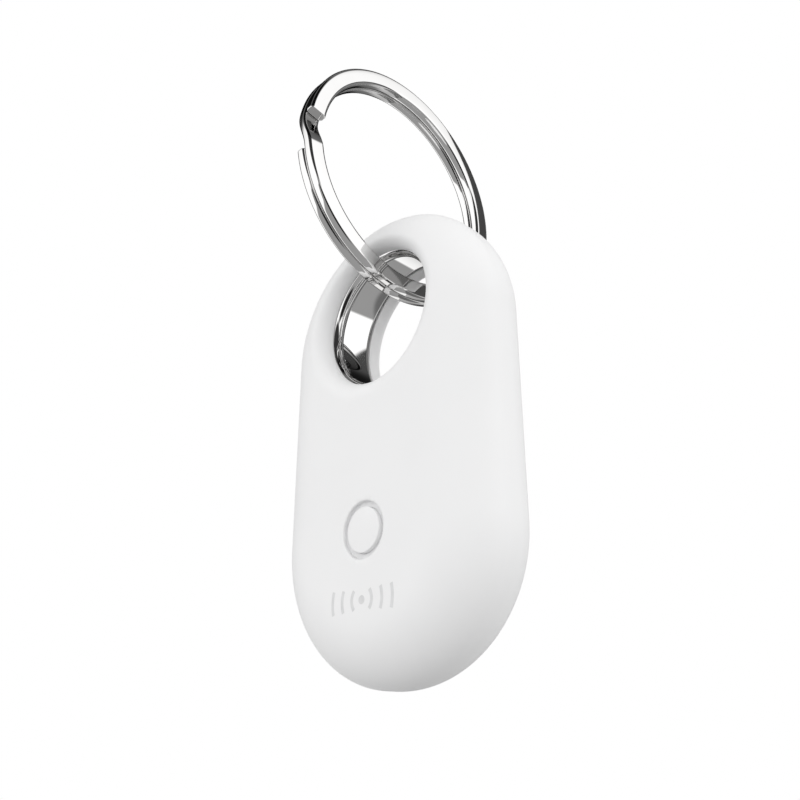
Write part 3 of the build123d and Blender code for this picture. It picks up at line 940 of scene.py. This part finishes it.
def make_floor():
    """A plain pale floor that fades into the background far away."""
    mesh = bpy.data.meshes.new("floor")
    edge = [
        (FLOOR_RADIUS * math.cos(t), FLOOR_RADIUS * math.sin(t), FLOOR_LEVEL)
        for t in np.linspace(0, 2 * math.pi, 96, endpoint=False)
    ]
    mesh.from_pydata(edge, [], [tuple(range(len(edge)))])
    floor = bpy.data.objects.new("floor", mesh)
    bpy.context.scene.collection.objects.link(floor)
    material = bpy.data.materials.new("floor")
    material.use_nodes = True
    tree = material.node_tree
    shader = tree.nodes["Principled BSDF"]
    shader.inputs["Base Color"].default_value = (FLOOR_GREY, FLOOR_GREY, FLOOR_GREY, 1)
    shader.inputs["Roughness"].default_value = 0.9
    shader.inputs["Specular IOR Level"].default_value = 0.1
    coordinates = tree.nodes.new("ShaderNodeTexCoord")
    length = tree.nodes.new("ShaderNodeVectorMath")
    length.operation = "LENGTH"
    fade = tree.nodes.new("ShaderNodeMapRange")
    fade.inputs["From Min"].default_value = FADE[0]
    fade.inputs["From Max"].default_value = FADE[1]
    glow = tree.nodes.new("ShaderNodeEmission")
    mix = tree.nodes.new("ShaderNodeMixShader")
    tree.links.new(coordinates.outputs["Object"], length.inputs[0])
    tree.links.new(length.outputs["Value"], fade.inputs["Value"])
    tree.links.new(fade.outputs["Result"], mix.inputs["Fac"])
    tree.links.new(shader.outputs["BSDF"], mix.inputs[1])
    tree.links.new(glow.outputs["Emission"], mix.inputs[2])
    tree.links.new(mix.outputs["Shader"], tree.nodes["Material Output"].inputs["Surface"])
    mesh.materials.append(material)
    floor.visible_glossy = False


make_floor()

AZIMUTH, ELEVATION = math.radians(45.68), math.radians(-22.36)
TO_CAMERA = Vector(
    (math.sin(AZIMUTH) * math.cos(ELEVATION), -math.cos(AZIMUTH) * math.cos(ELEVATION), math.sin(ELEVATION))
)


STUDIO_UP = Vector((-0.13, 0.18, 1.0)).normalized()
STUDIO_REAR = Vector((0.03, 1.0, 0.0)).normalized()
BRIGHT_SIDE = Vector((0.8, 0.1, 0.6)).normalized()
# The studio that polished metal mirrors is white, times a factor for each of these parts of it:
# a direction, the cosines between which it fades in, and its factor.
MIRRORED_PARTS = [
    (STUDIO_UP, -0.32, -0.37, 0.28),  # the grey floor
    (Vector((0, 0, 1)), 0.71, 0.80, 0.14),  # the ceiling
    (Vector((0.52, -0.52, 0.68)).normalized(), 0.72, 0.82, 0.03),  # the gap between the two lights
    (Vector((-0.75, 0.25, 0.61)).normalized(), 0.70, 0.80, 0.06),  # the dark behind the left light
    (TO_CAMERA, 0.86, 0.94, 0.05),  # the photographer
]
# The rear end of that studio is dark from a sharp edge on, and its middle is a little less dark.
# Each row: where it starts and ends, and the values there.
REAR_EDGE = (0.632, 0.637, 0.0, 1.0)
REAR_MIDDLE = (0.74, 0.80, 1.0, 0.85)
REAR_DARK = (-0.35, -0.1, 0.45, 0.06)  # by height: less dark below than above
REAR_LEAN = 0.05  # the edge comes forward this much towards the top and the bottom
WHITE_WALL = 1.25
# What lights the object: stronger from the bright side, and weaker from above.
WALLS = (0.2, 1.0, 1.185, 1.345)
CEILING = (0.55, 0.95, 1.0, 0.76)


def make_world():
    """White studio walls, a little brighter on the right, and the studio that metal mirrors."""
    world = bpy.data.worlds.new("studio")
    bpy.context.scene.world = world
    world.use_nodes = True
    tree = world.node_tree
    background = tree.nodes["Background"]
    background.inputs["Color"].default_value = (1, 1, 1, 1)

    def node(kind, **settings):
        made = tree.nodes.new(kind)
        for key, value in settings.items():
            setattr(made, key, value)
        return made

    def put(socket, value):
        """Give a socket a number, or link it to another node's output."""
        if isinstance(value, float):
            socket.default_value = value
        else:
            tree.links.new(value, socket)

    coordinates = node("ShaderNodeTexCoord").outputs["Generated"]
    rays = node("ShaderNodeLightPath").outputs

    def cosine(direction):
        """The cosine between the view and a direction."""
        made = node("ShaderNodeVectorMath", operation="DOT_PRODUCT")
        made.inputs[1].default_value = direction
        tree.links.new(coordinates, made.inputs[0])
        return made.outputs["Value"]

    def eased(source, start, finish, low, high):
        """A value that goes smoothly from one to another as the source goes from start to finish."""
        made = node("ShaderNodeMapRange", interpolation_type="SMOOTHSTEP")
        for name, value in (("From Min", start), ("From Max", finish), ("To Min", low), ("To Max", high)):
            made.inputs[name].default_value = value
        tree.links.new(source, made.inputs["Value"])
        return made.outputs["Result"]

    def maths(operation, first, second):
        made = node("ShaderNodeMath", operation=operation)
        put(made.inputs[0], first)
        put(made.inputs[1], second)
        return made.outputs["Value"]

    def mixed(factor, first, second):
        made = node("ShaderNodeMix", data_type="FLOAT")
        put(made.inputs["Factor"], factor)
        put(made.inputs["A"], first)
        put(made.inputs["B"], second)
        return made.outputs["Result"]

    height = cosine(Vector((0, 0, 1)))
    lean = maths("MULTIPLY", maths("ABSOLUTE", height, 0.0), REAR_LEAN)
    rearwards = maths("ADD", cosine(STUDIO_REAR), lean)
    rear_dark = eased(height, *REAR_DARK)
    rear_edge = eased(rearwards, *REAR_EDGE)
    rear_middle = eased(rearwards, *REAR_MIDDLE)
    mirrored = mixed(maths("MULTIPLY", rear_edge, rear_middle), 1.0, rear_dark)
    for direction, start, finish, factor in MIRRORED_PARTS:
        mirrored = maths("MULTIPLY", mirrored, eased(cosine(direction), start, finish, 1.0, factor))
    mirrored = maths("MULTIPLY", mirrored, WHITE_WALL)
    walls = eased(cosine(BRIGHT_SIDE), *WALLS)
    walls = maths("MULTIPLY", walls, eased(height, *CEILING))
    # Diffuse light comes from the walls, polished metal mirrors the studio, and the camera sees white.
    seen = mixed(rays["Is Camera Ray"], mixed(rays["Is Glossy Ray"], walls, mirrored), 1.0)
    tree.links.new(seen, background.inputs["Strength"])


make_world()
bpy.context.scene.view_settings.view_transform = "Standard"

# ---- camera -----------------------------------------------------------------------------------------
CAMERA_AT = Vector((58.196, -56.908, -42.462)) * MM
LENS = 36.494
camera_data = bpy.data.cameras.new("camera")
camera = bpy.data.objects.new("camera", camera_data)
bpy.context.scene.collection.objects.link(camera)
bpy.context.scene.camera = camera
camera_data.sensor_width = 36.0
camera_data.lens = LENS
camera_data.clip_start = 0.001
camera_data.clip_end = 20.0
camera.location = CAMERA_AT
camera.rotation_euler = TO_CAMERA.to_track_quat("Z", "Y").to_euler()
